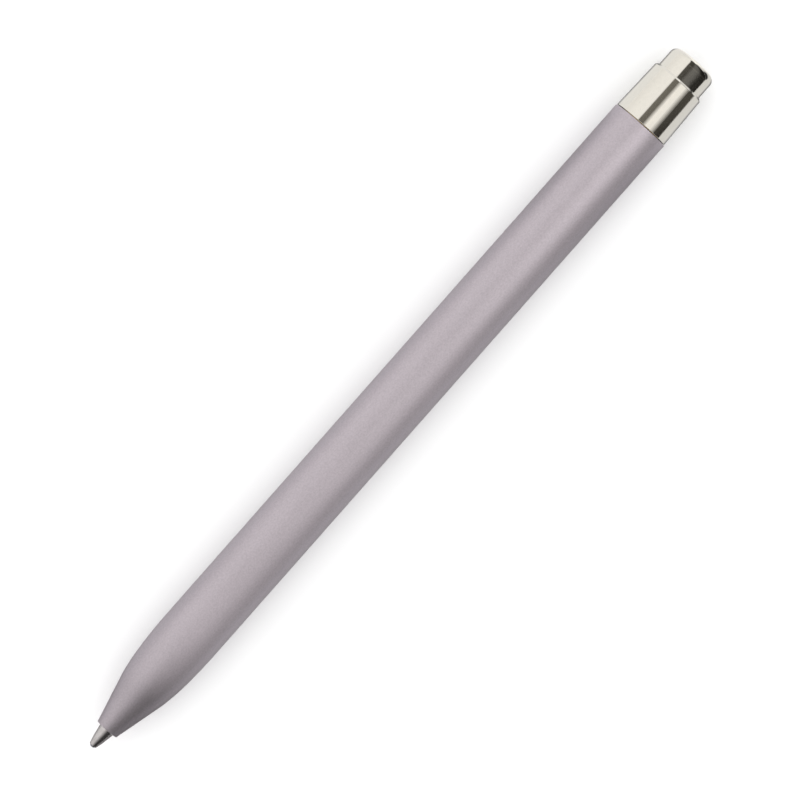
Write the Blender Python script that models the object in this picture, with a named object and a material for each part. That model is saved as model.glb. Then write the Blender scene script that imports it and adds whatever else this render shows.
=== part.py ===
"""Pushbutton ballpoint pen, lying on its side with the tip out.

Stations are millimetres along the pen, counted from the front of the writing ball, and radii are taken from
the pen's axis. The pen lies along X with its tip towards -X, and rests on a flat of its barrel at Z = 0.
Run with: blender --background --python part.py
"""
import math

import bmesh
import bpy
from mathutils import Vector

MM = 0.001
WELD = 1e-7

# Driving dimensions
PEN_LENGTH = 138.0
BARREL_RADIUS = 4.8
TIP_SHOWING = 3.55
COLLAR_LENGTH = 8.8
BUTTON_SHOWING = 3.9
REFILL_LENGTH = 98.1
STROKE = 5.0
OVERTRAVEL = 1.0

# Flats round the outer pieces, the inner pieces and the smallest ones. Those of the barrel are wide enough to
# keep it from rolling.
SIDES = 28
INNER_SIDES = 32
SMALL_SIDES = 24

# Clearances between neighbours: sliding pieces, faces that meet, and the refill's flange at its last travel
RUNNING_GAP = 0.06
FACE_GAP = 0.1
FLANGE_CLEARANCE = 0.3

# How deep a piece that is joined on is buried in the piece that it stands on
BURIED = 0.3

# Stations along the outside
MOUTH = TIP_SHOWING
COLLAR_REAR = PEN_LENGTH - BUTTON_SHOWING
BARREL_REAR = COLLAR_REAR - COLLAR_LENGTH

# Barrel outside: a straight cone, then a curve that runs out into the cylinder
MOUTH_RADIUS = 1.87
MOUTH_EDGE = 0.12
CONE_END = MOUTH + 7.6
CONE_END_RADIUS = 3.78
CURVE_CORNER = MOUTH + 11.66
CURVE_END = MOUTH + 20.0
CURVE_STEPS = 8
REAR_EDGE = 0.08

# Barrel inside: stepped bores from the mouth to the rear
MOUTH_BORE = 1.42
SPRING_SEAT = 9.5
SPRING_BORE = 2.5
REFILL_BORE = 3.15
SLEEVE_BORE_START = 99.6
SLEEVE_BORE = 3.6
THREAD_BORE_START = 117.9
THREAD_BORE = 4.1

# Collar thread
THREAD_PITCH = 1.0
THREAD_TURNS = 4
THREAD_STEPS = 24
THREAD_START = 118.9
THREAD_BASE_WIDTH = 0.5
THREAD_CREST_WIDTH = 0.25
MALE_ROOT = 3.55
MALE_CREST = 4.0
FEMALE_CREST = 3.65
RIDGE_BURIED = 0.1

# Threaded bush, its seal ring and the collar that its flange traps
BUSH_FRONT = 118.0
BUSH_BORE = 3.0
GROOVE_FRONT = 124.05
GROOVE_REAR = 125.15
GROOVE_RADIUS = 3.34
SEAL_RADIUS = 3.72
SEAL_THICKNESS = 0.68
BUSH_NECK = 3.7
FLANGE_RADIUS = 3.97
FLANGE_LENGTH = 0.5
COLLAR_FRONT_RADIUS = 4.7
COLLAR_REAR_RADIUS = 4.45
COLLAR_FRONT_EDGE = 0.08
COLLAR_CHAMFER = 0.3
COLLAR_RIM = 0.03
COLLAR_LIP = 0.5
COLLAR_LIP_BORE = 3.8
JOINT_LINE = 0.06

# Push button and the plunger pressed into it
BUTTON_RADIUS = 3.97
BUTTON_EDGE = 1.2
BUTTON_HELD = 1.6
BUTTON_FRONT = COLLAR_REAR - BUTTON_HELD - STROKE
BUTTON_BORE = 2.45
BUTTON_BORE_END = 135.5
PLUNGER_RADIUS = 2.4
PLUNGER_FRONT = 109.4
PLUNGER_BORE = 1.45
PLUNGER_BORE_END = 116.0
SPLINE_LENGTH = 1.5

# Cam sleeve: ribs with sloped front ends stand between wide grooves
SLEEVE_FRONT = 100.6
SLEEVE_LIP = 116.8
SLEEVE_SHOULDER = 117.8
SLEEVE_REAR = 125.5
SLEEVE_RADIUS = 3.45
SLEEVE_NECK = 2.94
GROOVE_WALL = 3.0
RIB_RADIUS = 2.5
RIB_COUNT = 4
RIB_HALF_WIDTH = math.radians(13)
FIN_HALF_WIDTH = math.radians(8)
FIN_RADIUS = 2.9
INDEX_TURN = math.radians(45)
CAM_SLOPE = STROKE / INDEX_TURN
CAM_MIDDLE = 105.2

# Rotor, with a pin that runs in the plunger's bore
ROTOR_RADIUS = 2.35
ROTOR_FRONT = REFILL_LENGTH + FACE_GAP
ROTOR_REAR = 107.7
ROTOR_PIN = 1.35
ROTOR_PIN_END = 113.5
FIN_FRONT = 101.8
TEETH = 8
TOOTH_HEIGHT = 0.8
TOOTH_INNER = 1.6
TOOTH_OUTER = 2.3

# Refill, from its ball to its crown
BALL_RADIUS = 0.6
SOCKET_RIM = 0.33
SOCKET_RADIUS = 0.63
SOCKET_WALL_END = 0.85
SOCKET_FLOOR = 1.14
SOCKET_FLOOR_RADIUS = 0.38
RIM_BORE = 0.57
RIM_RADIUS = 0.64
CONE_MIDDLE = 1.5
CONE_MIDDLE_RADIUS = 0.95
TIP_SHOULDER = 3.5
TIP_RADIUS = 1.32
TIP_REAR = 14.0
TIP_BORE = 0.8
TIP_BORE_START = 2.2
TIP_THROAT = 0.3
TIP_THROAT_END = 1.7
NECK_FRONT = 10.8
NECK_RADIUS = 1.65
NECK_BORE = 0.9
NECK_SOCKET = 1.37
NECK_FLANGE = 21.1
NECK_FLANGE_LENGTH = 1.0
NECK_REAR = 25.0
TUBE_RADIUS = 2.95
TUBE_BORE = 2.6
TUBE_REAR = 92.0
PLUG_RADIUS = 2.54
INK_RADIUS = 2.5
INK_THREAD_RADIUS = 0.72
INK_FRONT = 2.4
INK_REAR = 78.0
FOLLOWER_LENGTH = 4.0
CROWN_PLUG_FRONT = 88.0
CROWN_RADIUS = 2.8
CROWN_VENT = 0.5
CROWN_TEETH = 4
CROWN_TOOTH_LENGTH = 1.2
CROWN_TOOTH_INNER = 1.5
CROWN_TOOTH_OUTER = 2.7
CROWN_TOOTH_HALF_WIDTH = math.radians(28)

# Return spring, between the barrel's seat and the refill's flange
SPRING_TURNS = 9
SPRING_POINTS = 9
SPRING_RADIUS = 2.05
WIRE_RADIUS = 0.2

# Colours are linear RGB: name, colour, roughness, metallic
SATIN_ALUMINIUM = ("satin_aluminium", (0.51, 0.45, 0.48), 0.42, 0.9)
POLISHED_NICKEL = ("polished_nickel", (0.80, 0.77, 0.70), 0.12, 1.0)
TURNED_BRASS = ("turned_brass", (0.72, 0.53, 0.24), 0.3, 0.9)
NICKEL_SILVER = ("nickel_silver", (0.70, 0.67, 0.60), 0.22, 1.0)
DRAWN_STEEL = ("drawn_steel", (0.60, 0.60, 0.61), 0.35, 0.9)
CARBIDE = ("carbide", (0.42, 0.42, 0.44), 0.1, 1.0)
WHITE_ACETAL = ("white_acetal", (0.80, 0.79, 0.75), 0.5, 0.0)
BLACK_ACETAL = ("black_acetal", (0.03, 0.03, 0.035), 0.5, 0.0)
GREY_PLASTIC = ("grey_plastic", (0.32, 0.33, 0.35), 0.5, 0.0)
BLACK_RUBBER = ("black_rubber", (0.02, 0.02, 0.02), 0.85, 0.0)
BLACK_INK = ("black_ink", (0.01, 0.01, 0.014), 0.25, 0.0)
CLEAR_GREASE = ("clear_grease", (0.62, 0.60, 0.50), 0.25, 0.0)


def clear_scene():
    for old in list(bpy.data.objects):
        bpy.data.objects.remove(old, do_unlink=True)


def material(finish):
    name, colour, roughness, metallic = finish
    made = bpy.data.materials.get(name)
    if made is None:
        made = bpy.data.materials.new(name)
        made.use_nodes = True
        shader = made.node_tree.nodes["Principled BSDF"]
        shader.inputs["Base Color"].default_value = (*colour, 1.0)
        shader.inputs["Roughness"].default_value = roughness
        shader.inputs["Metallic"].default_value = metallic
    return made


def point(station, radius, angle):
    """A place in the pen's own frame. The angle is counted about +X from straight down."""
    return Vector((station, radius * math.sin(angle), -radius * math.cos(angle))) * MM


def empty(name, parent, station):
    """An empty on a joint's axis, which carries the pieces that move with that joint."""
    made = bpy.data.objects.new(name, None)
    made.parent = parent
    made.location = point(station, 0, 0)
    bpy.context.collection.objects.link(made)
    return made


def mesh_object(name, bm, parent, finish=None):
    """Turns a bmesh into an object. One with no finish is only an operand for a Boolean."""
    bmesh.ops.recalc_face_normals(bm, faces=bm.faces)
    mesh = bpy.data.meshes.new(name)
    bm.to_mesh(mesh)
    bm.free()
    made = bpy.data.objects.new(name, mesh)
    made.parent = parent
    bpy.context.collection.objects.link(made)
    if finish is None:
        made.hide_render = True
        made.display_type = "WIRE"
        return made
    mesh.materials.append(material(finish))
    mesh.polygons.foreach_set("use_smooth", [True] * len(mesh.polygons))
    mesh.set_sharp_from_angle(angle=math.radians(30))
    return made


def turned(name, outline, parent, finish, sides=INNER_SIDES):
    """A turned piece: an outline of (station, radius) pairs spun round the axis, with a flat facing down."""
    bm = bmesh.new()
    verts = [bm.verts.new(point(station, radius, math.pi / sides)) for station, radius in outline]
    ends = zip(outline, outline[1:] + outline[:1], verts, verts[1:] + verts[:1])
    edges = [bm.edges.new((a, b)) for first, second, a, b in ends if first[1] > 0 or second[1] > 0]
    bmesh.ops.spin(
        bm,
        geom=verts + edges,
        cent=(0, 0, 0),
        axis=(1, 0, 0),
        angle=2 * math.pi,
        steps=sides,
    )
    bmesh.ops.remove_doubles(bm, verts=bm.verts, dist=WELD)
    return mesh_object(name, bm, parent, finish)


def thread_ridge(name, start, base_radius, crest_radius, parent):
    """A right-hand helical ridge: its section is spun round the axis and moves along it by a pitch a turn."""
    bm = bmesh.new()
    base, crest = THREAD_BASE_WIDTH / 2, THREAD_CREST_WIDTH / 2
    section = [(-base, base_radius), (base, base_radius), (crest, crest_radius), (-crest, crest_radius)]
    face = bm.faces.new([bm.verts.new(point(start + along, radius, 0)) for along, radius in section])
    bmesh.ops.spin(
        bm,
        geom=[face, *face.edges, *face.verts],
        cent=(0, 0, 0),
        axis=(1, 0, 0),
        dvec=(THREAD_PITCH / THREAD_STEPS * MM, 0, 0),
        angle=2 * math.pi * THREAD_TURNS,
        steps=THREAD_TURNS * THREAD_STEPS,
    )
    return mesh_object(name, bm, parent)


def add_sector(bm, inner, outer, angles, front, rear, closed=False):
    """A wall between two radii. front and rear give its end stations at each angle."""
    loops = []
    for angle in angles:
        corners = [(front, inner), (front, outer), (rear, outer), (rear, inner)]
        loops.append([bm.verts.new(point(end(angle), radius, angle)) for end, radius in corners])
    following = loops[1:] + loops[:1] if closed else loops[1:]
    for loop, after in zip(loops, following):
        for i in range(4):
            bm.faces.new((loop[i - 1], loop[i], after[i], after[i - 1]))
    if not closed:
        bm.faces.new(loops[0])
        bm.faces.new(loops[-1])


def spread(count, half_width, steps, offset=0.0):
    """The angles across each of count sectors spaced evenly round the axis, as (middle, angles)."""
    for i in range(count):
        middle = offset + 2 * math.pi * i / count
        yield middle, [middle + half_width * (2 * j / steps - 1) for j in range(steps + 1)]


def join(target, operand):
    union = target.modifiers.new("join", "BOOLEAN")
    union.operation = "UNION"
    union.solver = "EXACT"
    union.object = operand


def arc(centre_station, centre_radius, size, start, end, steps):
    """Points of a round edge in the outline plane, from one angle to another in degrees, 0 along the pen."""
    angles = [math.radians(start + (end - start) * i / steps) for i in range(steps + 1)]
    return [(centre_station + size * math.cos(a), centre_radius + size * math.sin(a)) for a in angles]


def cone_curve():
    """The barrel's curve from cone to cylinder: a quadratic curve with its corner on both tangents."""
    points = []
    for i in range(CURVE_STEPS + 1):
        t = i / CURVE_STEPS
        first, middle, last = (1 - t) ** 2, 2 * t * (1 - t), t**2
        station = first * CONE_END + middle * CURVE_CORNER + last * CURVE_END
        radius = first * CONE_END_RADIUS + (middle + last) * BARREL_RADIUS
        points.append((station, radius))
    return points


def make_barrel(pen):
    outside = [(MOUTH, MOUTH_RADIUS - MOUTH_EDGE), (MOUTH + MOUTH_EDGE, MOUTH_RADIUS), *cone_curve()]
    outside += [(BARREL_REAR - REAR_EDGE, BARREL_RADIUS), (BARREL_REAR, BARREL_RADIUS - REAR_EDGE)]
    refill_bore_start = NECK_FLANGE - OVERTRAVEL - FLANGE_CLEARANCE
    inside = [
        (BARREL_REAR, THREAD_BORE),
        (THREAD_BORE_START, THREAD_BORE),
        (THREAD_BORE_START, SLEEVE_BORE),
        (SLEEVE_BORE_START, SLEEVE_BORE),
        (SLEEVE_BORE_START, REFILL_BORE),
        (refill_bore_start, REFILL_BORE),
        (refill_bore_start, SPRING_BORE),
        (SPRING_SEAT, SPRING_BORE),
        (SPRING_SEAT, MOUTH_BORE),
        (MOUTH, MOUTH_BORE),
    ]
    barrel = turned("barrel", outside + inside, pen, SATIN_ALUMINIUM, SIDES)
    start = THREAD_START + THREAD_PITCH / 2
    join(barrel, thread_ridge("barrel_thread", start, THREAD_BORE + RIDGE_BURIED, FEMALE_CREST, pen))


def make_return_spring(pen):
    """A helix of round wire. Prints the least gap from one turn to the next."""
    front = SPRING_SEAT + FACE_GAP + WIRE_RADIUS
    rear = NECK_FLANGE - FACE_GAP - WIRE_RADIUS
    count = SPRING_TURNS * SPRING_POINTS
    shares = [i / count for i in range(count + 1)]
    route = [
        point(front + (rear - front) * share, SPRING_RADIUS, 2 * math.pi * SPRING_TURNS * share)
        for share in shares
    ]
    curve = bpy.data.curves.new("return_spring", "CURVE")
    curve.dimensions = "3D"
    curve.bevel_depth = WIRE_RADIUS * MM
    curve.bevel_resolution = 1
    curve.use_fill_caps = True
    spline = curve.splines.new("POLY")
    spline.points.add(count)
    for place, corner in zip(spline.points, route):
        place.co = (*corner, 1.0)
    spline.use_smooth = True
    curve.materials.append(material(DRAWN_STEEL))
    spring = bpy.data.objects.new("return_spring", curve)
    spring.parent = pen
    bpy.context.collection.objects.link(spring)
    half_turn = SPRING_POINTS // 2
    apart = [(a - b).length for i, a in enumerate(route) for b in route[i + half_turn + 1 :]]
    print(f"return spring: least gap between turns {min(apart) / MM - 2 * WIRE_RADIUS:.2f} mm")


def make_threaded_bush(collar_axis):
    flange_rear = BUTTON_FRONT - OVERTRAVEL - FACE_GAP
    flange_front = flange_rear - FLANGE_LENGTH
    outline = [
        (BUSH_FRONT, BUSH_BORE),
        (BUSH_FRONT, MALE_ROOT),
        (GROOVE_FRONT, MALE_ROOT),
        (GROOVE_FRONT, GROOVE_RADIUS),
        (GROOVE_REAR, GROOVE_RADIUS),
        (GROOVE_REAR, BUSH_NECK),
        (flange_front, BUSH_NECK),
        (flange_front, FLANGE_RADIUS),
        (flange_rear, FLANGE_RADIUS),
        (flange_rear, BUSH_BORE),
    ]
    bush = turned("threaded_bush", outline, collar_axis, TURNED_BRASS)
    ridge = thread_ridge("bush_thread", THREAD_START, MALE_ROOT - RIDGE_BURIED, MALE_CREST, collar_axis)
    join(bush, ridge)


def make_collar(collar_axis):
    front = BARREL_REAR + JOINT_LINE
    bore = BUTTON_RADIUS + RUNNING_GAP
    outline = [
        (front, COLLAR_LIP_BORE),
        (front, COLLAR_FRONT_RADIUS - COLLAR_FRONT_EDGE),
        (front + COLLAR_FRONT_EDGE, COLLAR_FRONT_RADIUS),
        (COLLAR_REAR - COLLAR_CHAMFER, COLLAR_REAR_RADIUS),
        (COLLAR_REAR, bore + COLLAR_RIM),
        (COLLAR_REAR, bore),
        (front + COLLAR_LIP, bore),
        (front + COLLAR_LIP, COLLAR_LIP_BORE),
    ]
    turned("collar", outline, collar_axis, POLISHED_NICKEL, SIDES)


def make_seal_ring(seal_axis):
    middle = (GROOVE_FRONT + GROOVE_REAR) / 2
    section = arc(middle, SEAL_RADIUS, SEAL_THICKNESS / 2, 0, 360, 8)
    turned("seal_ring", section[:-1], seal_axis, BLACK_RUBBER)


def cam_path(angle, middle):
    """The helix that the rotor's fins follow as the button travels, through one sector's middle."""
    return CAM_MIDDLE + CAM_SLOPE * (angle - middle)


def make_cam_sleeve(collar_axis):
    outline = [
        (SLEEVE_FRONT, GROOVE_WALL),
        (SLEEVE_FRONT, SLEEVE_RADIUS),
        (SLEEVE_SHOULDER, SLEEVE_RADIUS),
        (SLEEVE_SHOULDER, SLEEVE_NECK),
        (SLEEVE_REAR, SLEEVE_NECK),
        (SLEEVE_REAR, RIB_RADIUS),
        (SLEEVE_LIP, RIB_RADIUS),
        (SLEEVE_LIP, GROOVE_WALL),
    ]
    sleeve = turned("cam_sleeve", outline, collar_axis, WHITE_ACETAL)
    bm = bmesh.new()
    for middle, angles in spread(RIB_COUNT, RIB_HALF_WIDTH, 4):
        add_sector(
            bm,
            RIB_RADIUS,
            GROOVE_WALL + BURIED,
            angles,
            lambda angle, middle=middle: cam_path(angle, middle) + FACE_GAP,
            lambda angle: (SLEEVE_LIP + SLEEVE_SHOULDER) / 2,
        )
    join(sleeve, mesh_object("cam_ribs", bm, collar_axis))


def make_push_button(button_axis):
    edge = arc(PEN_LENGTH - BUTTON_EDGE, BUTTON_RADIUS - BUTTON_EDGE, BUTTON_EDGE, 90, 0, 6)
    outline = [(BUTTON_FRONT, BUTTON_BORE), (BUTTON_FRONT, BUTTON_RADIUS), *edge, (PEN_LENGTH, 0)]
    outline += [(BUTTON_BORE_END, 0), (BUTTON_BORE_END, BUTTON_BORE)]
    turned("push_button", outline, button_axis, POLISHED_NICKEL, SIDES)


def zigzag(angle):
    """A tooth's share of its height at an angle: 0 at each valley, 1 at each tip."""
    share = (angle * TEETH / (2 * math.pi)) % 1.0
    return 1 - abs(2 * share - 1)


def add_teeth(bm, front, rear):
    """A ring of crown teeth, with front or rear following the zigzag."""
    steps = 4 * TEETH
    angles = [2 * math.pi * i / steps for i in range(steps)]
    add_sector(bm, TOOTH_INNER, TOOTH_OUTER, angles, front, rear, closed=True)


def make_plunger(button_axis):
    outline = [
        (PLUNGER_FRONT, PLUNGER_BORE),
        (PLUNGER_FRONT, PLUNGER_RADIUS),
        (BUTTON_BORE_END - FACE_GAP, PLUNGER_RADIUS),
        (BUTTON_BORE_END - FACE_GAP, 0),
        (PLUNGER_BORE_END, 0),
        (PLUNGER_BORE_END, PLUNGER_BORE),
    ]
    plunger = turned("plunger", outline, button_axis, WHITE_ACETAL)
    bm = bmesh.new()
    add_teeth(
        bm,
        lambda angle: PLUNGER_FRONT - TOOTH_HEIGHT * zigzag(angle),
        lambda angle: PLUNGER_FRONT + BURIED,
    )
    join(plunger, mesh_object("plunger_teeth", bm, button_axis))
    spline_rear = SLEEVE_LIP - STROKE - FACE_GAP
    bm = bmesh.new()
    for _, angles in spread(RIB_COUNT, FIN_HALF_WIDTH, 3, INDEX_TURN):
        add_sector(
            bm,
            PLUNGER_RADIUS - BURIED,
            FIN_RADIUS,
            angles,
            lambda angle: spline_rear - SPLINE_LENGTH,
            lambda angle: spline_rear,
        )
    join(plunger, mesh_object("plunger_splines", bm, button_axis))


def make_rotor(rotor_axis):
    outline = [
        (ROTOR_FRONT, 0),
        (ROTOR_FRONT, ROTOR_RADIUS),
        (ROTOR_REAR, ROTOR_RADIUS),
        (ROTOR_REAR, ROTOR_PIN),
        (ROTOR_PIN_END, ROTOR_PIN),
        (ROTOR_PIN_END, 0),
    ]
    rotor = turned("rotor", outline, rotor_axis, BLACK_ACETAL)
    bm = bmesh.new()
    add_teeth(
        bm,
        lambda angle: ROTOR_REAR - BURIED,
        lambda angle: ROTOR_REAR + TOOTH_HEIGHT * zigzag(angle),
    )
    join(rotor, mesh_object("rotor_teeth", bm, rotor_axis))
    bm = bmesh.new()
    for middle, angles in spread(RIB_COUNT, FIN_HALF_WIDTH, 3):
        add_sector(
            bm,
            ROTOR_RADIUS - BURIED,
            FIN_RADIUS,
            angles,
            lambda angle: FIN_FRONT,
            lambda angle, middle=middle: cam_path(angle, middle),
        )
    join(rotor, mesh_object("rotor_fins", bm, rotor_axis))


def make_writing_ball(ball_axis):
    bm = bmesh.new()
    bmesh.ops.create_uvsphere(bm, u_segments=16, v_segments=12, radius=BALL_RADIUS * MM)
    mesh_object("writing_ball", bm, ball_axis, CARBIDE)


def make_refill_tip(refill_axis):
    """A turned cone whose rim closes in front of the ball's middle and so keeps it in."""
    outline = [
        (SOCKET_RIM, RIM_BORE),
        (SOCKET_RIM, RIM_RADIUS),
        (CONE_MIDDLE, CONE_MIDDLE_RADIUS),
        (TIP_SHOULDER, TIP_RADIUS),
        (TIP_REAR, TIP_RADIUS),
        (TIP_REAR, TIP_BORE),
        (TIP_BORE_START, TIP_BORE),
        (TIP_THROAT_END, TIP_THROAT),
        (SOCKET_FLOOR, TIP_THROAT),
        (SOCKET_FLOOR, SOCKET_FLOOR_RADIUS),
        (SOCKET_WALL_END, SOCKET_RADIUS),
        (BALL_RADIUS, SOCKET_RADIUS),
    ]
    turned("refill_tip", outline, refill_axis, NICKEL_SILVER, SMALL_SIDES)


def make_refill_neck(refill_axis):
    flange_rear = NECK_FLANGE + NECK_FLANGE_LENGTH
    outline = [
        (NECK_FRONT, NECK_SOCKET),
        (NECK_FRONT, NECK_RADIUS),
        (NECK_FLANGE, NECK_RADIUS),
        (NECK_FLANGE, TUBE_RADIUS),
        (flange_rear, TUBE_RADIUS),
        (flange_rear, PLUG_RADIUS),
        (NECK_REAR, PLUG_RADIUS),
        (NECK_REAR, NECK_BORE),
        (TIP_REAR + FACE_GAP, NECK_BORE),
        (TIP_REAR + FACE_GAP, NECK_SOCKET),
    ]
    turned("refill_neck", outline, refill_axis, TURNED_BRASS)


def make_refill_tube(refill_axis):
    front = NECK_FLANGE + NECK_FLANGE_LENGTH + FACE_GAP
    outline = [(front, TUBE_BORE), (front, TUBE_RADIUS), (TUBE_REAR, TUBE_RADIUS), (TUBE_REAR, TUBE_BORE)]
    turned("refill_tube", outline, refill_axis, DRAWN_STEEL)


def make_ink(refill_axis):
    column = NECK_REAR + FACE_GAP
    outline = [
        (INK_FRONT, 0),
        (INK_FRONT, INK_THREAD_RADIUS),
        (column, INK_THREAD_RADIUS),
        (column, INK_RADIUS),
        (INK_REAR, INK_RADIUS),
        (INK_REAR, 0),
    ]
    turned("ink_column", outline, refill_axis, BLACK_INK, SMALL_SIDES)
    front, rear = INK_REAR + FACE_GAP, INK_REAR + FACE_GAP + FOLLOWER_LENGTH
    outline = [(front, 0), (front, INK_RADIUS), (rear, INK_RADIUS), (rear, 0)]
    turned("ink_follower", outline, refill_axis, CLEAR_GREASE, SMALL_SIDES)


def make_refill_crown(refill_axis):
    """The plug in the refill's rear end, with blunt teeth for the rotor to push on and a vent through it."""
    seat, teeth = TUBE_REAR + FACE_GAP, REFILL_LENGTH - CROWN_TOOTH_LENGTH
    outline = [
        (CROWN_PLUG_FRONT, CROWN_VENT),
        (CROWN_PLUG_FRONT, PLUG_RADIUS),
        (seat, PLUG_RADIUS),
        (seat, CROWN_RADIUS),
        (teeth, CROWN_RADIUS),
        (teeth, CROWN_VENT),
    ]
    crown = turned("refill_crown", outline, refill_axis, GREY_PLASTIC)
    bm = bmesh.new()
    for _, angles in spread(CROWN_TEETH, CROWN_TOOTH_HALF_WIDTH, 4):
        add_sector(
            bm,
            CROWN_TOOTH_INNER,
            CROWN_TOOTH_OUTER,
            angles,
            lambda angle: teeth - BURIED,
            lambda angle: REFILL_LENGTH,
        )
    join(crown, mesh_object("crown_teeth", bm, refill_axis))


def make_pen():
    clear_scene()
    pen = empty("pen", None, -PEN_LENGTH / 2)
    pen.location.z = BARREL_RADIUS * math.cos(math.pi / SIDES) * MM
    seal_axis = empty("collar_lead", pen, 0)
    collar_axis = empty("collar_turn", seal_axis, 0)
    button_axis = empty("button_slide", collar_axis, 0)
    rotor_axis = empty("rotor_turn", button_axis, 0)
    refill_axis = empty("refill_slide", pen, 0)
    ball_axis = empty("ball_roll", refill_axis, BALL_RADIUS)
    make_barrel(pen)
    make_return_spring(pen)
    make_seal_ring(seal_axis)
    make_threaded_bush(collar_axis)
    make_collar(collar_axis)
    make_cam_sleeve(collar_axis)
    make_push_button(button_axis)
    make_plunger(button_axis)
    make_rotor(rotor_axis)
    make_refill_tip(refill_axis)
    make_refill_neck(refill_axis)
    make_refill_tube(refill_axis)
    make_ink(refill_axis)
    make_refill_crown(refill_axis)
    make_writing_ball(ball_axis)


make_pen()
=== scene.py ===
"""Pushbutton ballpoint pen: round turned pieces with their finishes, a studio and a camera.

Stations are millimetres along the pen from the front of the writing ball, and radii are millimetres from
its axis. The pen lies along X with its tip towards -X. Places in the studio are metres from the pen's
middle, and a tilt is counted in degrees about the pen's axis, from straight up towards -Y.
"""
import math

import bmesh
import bpy
import numpy as np
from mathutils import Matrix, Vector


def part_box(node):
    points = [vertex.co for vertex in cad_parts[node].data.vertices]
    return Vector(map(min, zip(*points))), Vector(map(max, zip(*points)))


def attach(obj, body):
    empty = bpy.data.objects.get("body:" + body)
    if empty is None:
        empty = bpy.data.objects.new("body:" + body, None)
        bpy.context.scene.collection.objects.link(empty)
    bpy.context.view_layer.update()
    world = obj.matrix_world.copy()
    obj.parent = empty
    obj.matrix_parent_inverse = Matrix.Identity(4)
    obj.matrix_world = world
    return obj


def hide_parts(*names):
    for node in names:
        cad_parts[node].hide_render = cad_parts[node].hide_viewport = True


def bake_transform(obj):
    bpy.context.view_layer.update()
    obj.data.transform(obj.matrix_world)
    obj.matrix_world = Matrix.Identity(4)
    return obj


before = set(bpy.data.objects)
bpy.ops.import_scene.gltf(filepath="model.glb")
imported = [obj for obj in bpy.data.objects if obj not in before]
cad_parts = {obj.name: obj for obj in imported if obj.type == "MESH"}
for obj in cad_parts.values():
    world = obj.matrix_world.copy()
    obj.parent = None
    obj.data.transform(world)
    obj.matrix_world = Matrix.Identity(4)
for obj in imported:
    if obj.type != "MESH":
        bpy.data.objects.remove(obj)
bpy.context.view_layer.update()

MM = 0.001
WELD = 1e-9
SHARP_ANGLE = math.radians(35)
PEN_LENGTH = 138.0
ball_low, ball_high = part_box("writing_ball")
AXIS_HEIGHT = (ball_low.z + ball_high.z) / 2

# How finely the surfaces are divided
AROUND = 256
AROUND_TIP = 192
AROUND_SMALL = 96
ARC_STEPS = 8
ARC_STEPS_PER_MM = 20
NOSE_STEPS = 40
CROWN_STEPS = 12
THREAD_ROWS = 120
BALL_STEPS = 48
SEAL_STEPS = 32
COIL_STEPS = 48
WIRE_STEPS = 16

# Roundings of most edges and of the finer ones, and how far the points beside them hold the flats
EDGE = 0.1
FINE_EDGE = 0.05
HELD_SHARE = 0.3
HELD_MOST = 0.05

# Barrel outside: a straight cone, then a curve that runs out into the cylinder
MOUTH = 3.55
MOUTH_RADIUS = 1.87
CONE_HELD = 0.5
CONE_END = 11.15
CONE_END_RADIUS = 3.78
NOSE_CORNER = 15.21
NOSE_END = 23.55
CYLINDER_HELD = 1.0
BARREL_RADIUS = 4.8
BARREL_REAR = 125.29
REAR_EDGE = 0.11

# Barrel inside: stepped bores from the mouth to the rear
MOUTH_BORE = 1.42
MOUTH_BORE_EDGE = 0.08
SPRING_SEAT = 9.5
SPRING_BORE = 2.5
REFILL_BORE_START = 19.8
REFILL_BORE = 3.15
SLEEVE_BORE_START = 99.6
SLEEVE_BORE = 3.6
THREAD_BORE_START = 117.9
THREAD_BORE = 4.1
THREAD_BORE_EDGE = 0.15

# Thread between barrel and bush
THREAD_PITCH = 1.0
THREAD_TURNS = 4
THREAD_FADE = 0.25
THREAD_START = 118.9
THREAD_BASE = 0.5
THREAD_CREST = 0.25
FEMALE_FRONT = 118.6
FEMALE_REAR = 124.2
FEMALE_HEIGHT = 0.45
MALE_FRONT = 118.4
MALE_REAR = 123.6
MALE_ROOT = 3.55
MALE_HEIGHT = 0.45

# Threaded bush and the seal ring in its groove
BUSH_FRONT = 118.0
BUSH_BORE = 3.0
GROOVE_FRONT = 124.05
GROOVE_REAR = 125.15
GROOVE_RADIUS = 3.34
BUSH_NECK = 3.7
BUSH_NECK_EDGE = 0.02
FLANGE_FRONT = 125.9
FLANGE_REAR = 126.4
FLANGE_RADIUS = 3.97
SEAL_STATION = 124.6
SEAL_RADIUS = 3.72
SEAL_SECTION = 0.34

# Collar
COLLAR_FRONT = 125.39
COLLAR_FRONT_RADIUS = 4.7
COLLAR_FRONT_EDGE = 0.06
COLLAR_REAR = 134.1
COLLAR_REAR_RADIUS = 4.45
COLLAR_CHAMFER = 0.3
COLLAR_CHAMFER_DROP = 0.29
COLLAR_CHAMFER_EDGE = 0.02
COLLAR_BORE = 4.03
COLLAR_BORE_EDGE = 0.012
COLLAR_LIP_REAR = 125.86
COLLAR_LIP_BORE = 3.8

# Push button
BUTTON_FRONT = 127.5
BUTTON_RADIUS = 3.97
BUTTON_EDGE = 1.2
BUTTON_CROWN = 0.08
BUTTON_BORE = 2.45
BUTTON_BORE_END = 135.5
SPUN_RADIUS = 2.6
SPUN_FADE = 0.3

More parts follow.
